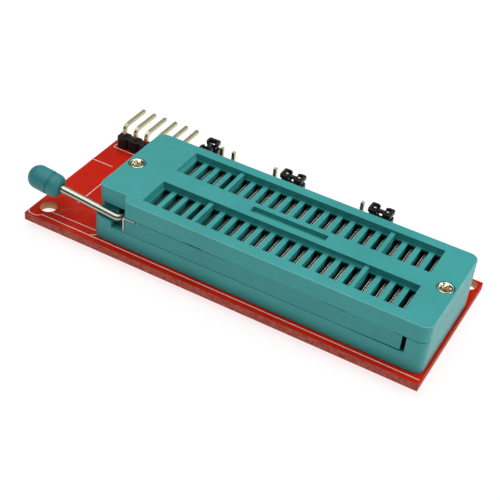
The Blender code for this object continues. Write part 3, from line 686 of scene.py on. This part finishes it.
# ---------------------------------------------------------------- lever
def lever():
    """The bent wire with its cam, and the turned knob on its end."""
    joint = next(j for j in frame["joints"] if j["child"] == "lever")
    pivot = Vector(joint["pos_m"])
    shaft_end = (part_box("lever_rod")[1].y - pivot.y) / MM
    radius, bend, rise = 0.72, 1.15, math.radians(5.6)
    arm = Vector((-math.cos(rise), 0, math.sin(rise)))
    reach, knob_end = 15.7, 19.88
    points = [arm * reach]
    for i in range(17):
        a = math.radians(90) * i / 16
        points.append(arm * (bend * (1 - math.sin(a))) + Vector((0, bend * (1 - math.cos(a)), 0)))
    points.append(Vector((0, shaft_end, 0)))
    curve = bpy.data.curves.new("lever_wire", "CURVE")
    curve.dimensions = "3D"
    curve.bevel_depth = radius * MM
    curve.bevel_resolution = 7
    curve.use_fill_caps = True
    spline = curve.splines.new("POLY")
    spline.points.add(len(points) - 1)
    for control, point in zip(spline.points, points):
        control.co = (*(pivot + point * MM), 1.0)
    curve.materials.append(MATERIALS["wire"])
    wire = bpy.data.objects.new("lever_wire", curve)
    bpy.context.scene.collection.objects.link(wire)
    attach(wire, "lever")
    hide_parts("lever_rod")

    # the off-centre cam round the shaft's middle
    cam_r, half_length, bevel, cam_middle = 0.88, 8.0, 0.1, Vector((0, 11.55, 0.5))
    end = [(0, half_length), (cam_r - 0.08, half_length), (cam_r, half_length - bevel)]
    bm = bmesh.new()
    verts = turned(bm, [(r, -along) for r, along in end] + end[::-1], Vector())
    lay_down = Matrix.Rotation(math.radians(90), 4, "X")
    bmesh.ops.transform(bm, verts=verts, matrix=Matrix.Translation(pivot + cam_middle * MM) @ lay_down)
    piece("lever_cam", bm, "wire", "lever")

    # the knob's profile, from its outer end: a dome, a ring groove, a round shoulder and the bore
    knob_r, knob_l, groove, dome, shoulder = 2.25, 6.95, 4.75, 2.1, 1.2
    profile = [(0.0, 0.0)]
    for i in range(1, 13):
        a = math.radians(90) * i / 12
        profile.append((knob_r * math.sin(a), dome * (1 - math.cos(a))))
    profile += [(knob_r, groove - 0.22), (knob_r - 0.03, groove - 0.15), (knob_r - 0.19, groove - 0.07),
                (knob_r - 0.2, groove + 0.03), (knob_r - 0.08, groove + 0.13), (knob_r - 0.04, groove + 0.2)]
    for i in range(9):
        a = math.radians(80) * i / 8
        profile.append((knob_r - 0.08 - 1.15 * (1 - math.cos(a)), knob_l - shoulder + shoulder * math.sin(a)))
    bore, bore_depth = radius + 0.02, 2.5
    profile += [(bore + 0.14, knob_l), (bore, knob_l - 0.1), (bore, knob_l - bore_depth),
                (0.0, knob_l - bore_depth)]
    bm = bmesh.new()
    verts = turned(bm, profile, Vector(), 64)
    aim = Matrix.Rotation(-math.pi / 2 + rise, 4, "Y") @ Matrix.Rotation(math.pi, 4, "X")
    bmesh.ops.transform(bm, verts=verts, matrix=Matrix.Translation(pivot + arm * knob_end * MM) @ aim)
    piece("lever_knob_moulding", bm, "knob", "lever", ("lever_knob",))


def housing(node, name):
    """A strip of cells with notched sides, which stands a hair above the board."""
    pins = pin_row(node)
    y = pin_row_y(node)
    half, depth, cut, standoff = PITCH / 2, 2.4, 0.42, 0.1
    front = []
    for x in pins:
        front += [(x - half, y - depth / 2 + cut), (x - half + cut, y - depth / 2),
                  (x + half - cut, y - depth / 2)]
    front.append((pins[-1] + half, y - depth / 2 + cut))
    outline = front + [(a, 2 * y - b) for a, b in reversed(front)]
    bm = bmesh.new()
    bottom = [spot(a, b, standoff) for a, b in outline]
    extrude_outline(bm, bottom, Vector((0, 0, (HOUSING_H - standoff) * MM)))
    round_edges(bm, sharp_edges(bm, 25), 0.12)
    piece(name, bm, "header", replaces=(node,))


def straight_pins(node, name):
    """Square pins with pointed tips and their tails under the board."""
    bm = bmesh.new()
    y = pin_row_y(node)
    top = plan(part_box(node)[1]).z
    h, corners = PIN / 2, ((-1, -1), (1, -1), (1, 1), (-1, 1))
    for x in pin_row(node):
        square = [spot(x + a * h, y + b * h, -BOARD_T - TAIL_DROP) for a, b in corners]
        extrude_outline(bm, square, Vector((0, 0, (top + BOARD_T + TAIL_DROP) * MM)))
    ends = [e for e in sharp_edges(bm) if abs(e.verts[0].co.z - e.verts[1].co.z) < 0.001 * MM]
    round_edges(bm, ends, 0.14)
    round_edges(bm, sharp_edges(bm, 60), 0.05)
    piece(name, bm, "gold", replaces=(node,), sharp=30)


def angled_pins(node, name):
    """Square pins that rise from the housing, turn back and run level to pointed tips."""
    tip = plan(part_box(node)[1])
    y, h, bend = pin_row_y(node), PIN / 2, 1.3
    high = tip.z
    bottom = -BOARD_T - TAIL_DROP
    outer = arc(y - h + bend, high - bend, bend, 180, 90, 12)
    inner = arc(y - h + bend, high - bend, bend - PIN, 90, 180, 12)
    outline = ([(y - h, bottom)] + outer + [(tip.y, high), (tip.y, high - PIN)] + inner + [(y + h, bottom)])
    bm = bmesh.new()
    for x in pin_row(node):
        extrude_outline(bm, [spot(x - h, a, b) for a, b in outline], Vector((PIN * MM, 0, 0)))
    tips = [e for e in sharp_edges(bm) if all(abs(v.co.y - spot(0, tip.y).y) < 0.001 * MM for v in e.verts)]
    round_edges(bm, tips, 0.16)
    round_edges(bm, sharp_edges(bm, 60), 0.05)
    piece(name, bm, "gold", replaces=(node,), sharp=30)


# ---------------------------------------------------------------- camera, lights and floor
def camera():
    azimuth, elevation, roll = (math.radians(v) for v in (25.091, 38.507, 6.413))
    target = spot(39.932, 14.599)
    distance = 0.20839
    forward = Vector((-math.sin(azimuth) * math.cos(elevation), math.cos(azimuth) * math.cos(elevation),
                      -math.sin(elevation)))
    right = Vector((math.cos(azimuth), math.sin(azimuth), 0))
    up = right.cross(forward)
    side = math.cos(roll) * right + math.sin(roll) * up
    head = -math.sin(roll) * right + math.cos(roll) * up
    place = target - forward * distance
    data = bpy.data.cameras.new("camera")
    data.sensor_width = 36.0
    data.lens = 81.97
    data.clip_start = 0.01
    data.clip_end = 10
    obj = bpy.data.objects.new("camera", data)
    obj.matrix_world = Matrix.Translation(place) @ Matrix((side, head, -forward)).transposed().to_4x4()
    bpy.context.scene.collection.objects.link(obj)
    bpy.context.scene.camera = obj


def panel(name, place, size, power):
    """A soft light panel that faces the object."""
    data = bpy.data.lights.new(name, "AREA")
    data.shape = "RECTANGLE"
    data.size, data.size_y = size
    data.energy = power
    obj = bpy.data.objects.new(name, data)
    obj.location = place
    obj.rotation_euler = (-Vector(place)).to_track_quat("-Z", "Y").to_euler()
    bpy.context.scene.collection.objects.link(obj)


def studio():
    ground = BOARD_LOW.z - TAIL_DROP * MM
    bm = bmesh.new()
    bmesh.ops.create_grid(bm, x_segments=1, y_segments=1, size=1.5, matrix=Matrix.Translation((0, 0, ground)))
    mesh = bpy.data.meshes.new("floor")
    bm.to_mesh(mesh)
    bm.free()
    mesh.materials.append(floor_paper())
    floor = bpy.data.objects.new("floor", mesh)
    bpy.context.scene.collection.objects.link(floor)

    panel("overhead", (-0.06, 0.0, 0.45), (0.74, 0.42), 2.35)
    panel("right_side", (0.45, 0.10, 0.30), (0.35, 0.30), 1.3)
    panel("back_left", (-0.30, 0.33, 0.30), (0.20, 0.20), 0.06)

    world = bpy.data.worlds.new("room")
    world.use_nodes = True
    background = world.node_tree.nodes["Background"]
    background.inputs["Color"].default_value = (1, 1, 1, 1)
    background.inputs["Strength"].default_value = 0.05
    bpy.context.scene.world = world
    bpy.context.scene.view_settings.view_transform = "Standard"


# ---------------------------------------------------------------- the scene
camera()
studio()
dress_nodes()
legend()
solder_joints()
copper_tracks()
socket_mouldings()
rivet("rivet_left")
rivet("rivet_right")
lever()
housing("icsp_header", "icsp_housing")
angled_pins("icsp_header", "icsp_pins")
for n in CAPS:
    housing("jumper_header_%d" % n, "jumper_housing_%d" % n)
    straight_pins("jumper_header_%d" % n, "jumper_pins_%d" % n)
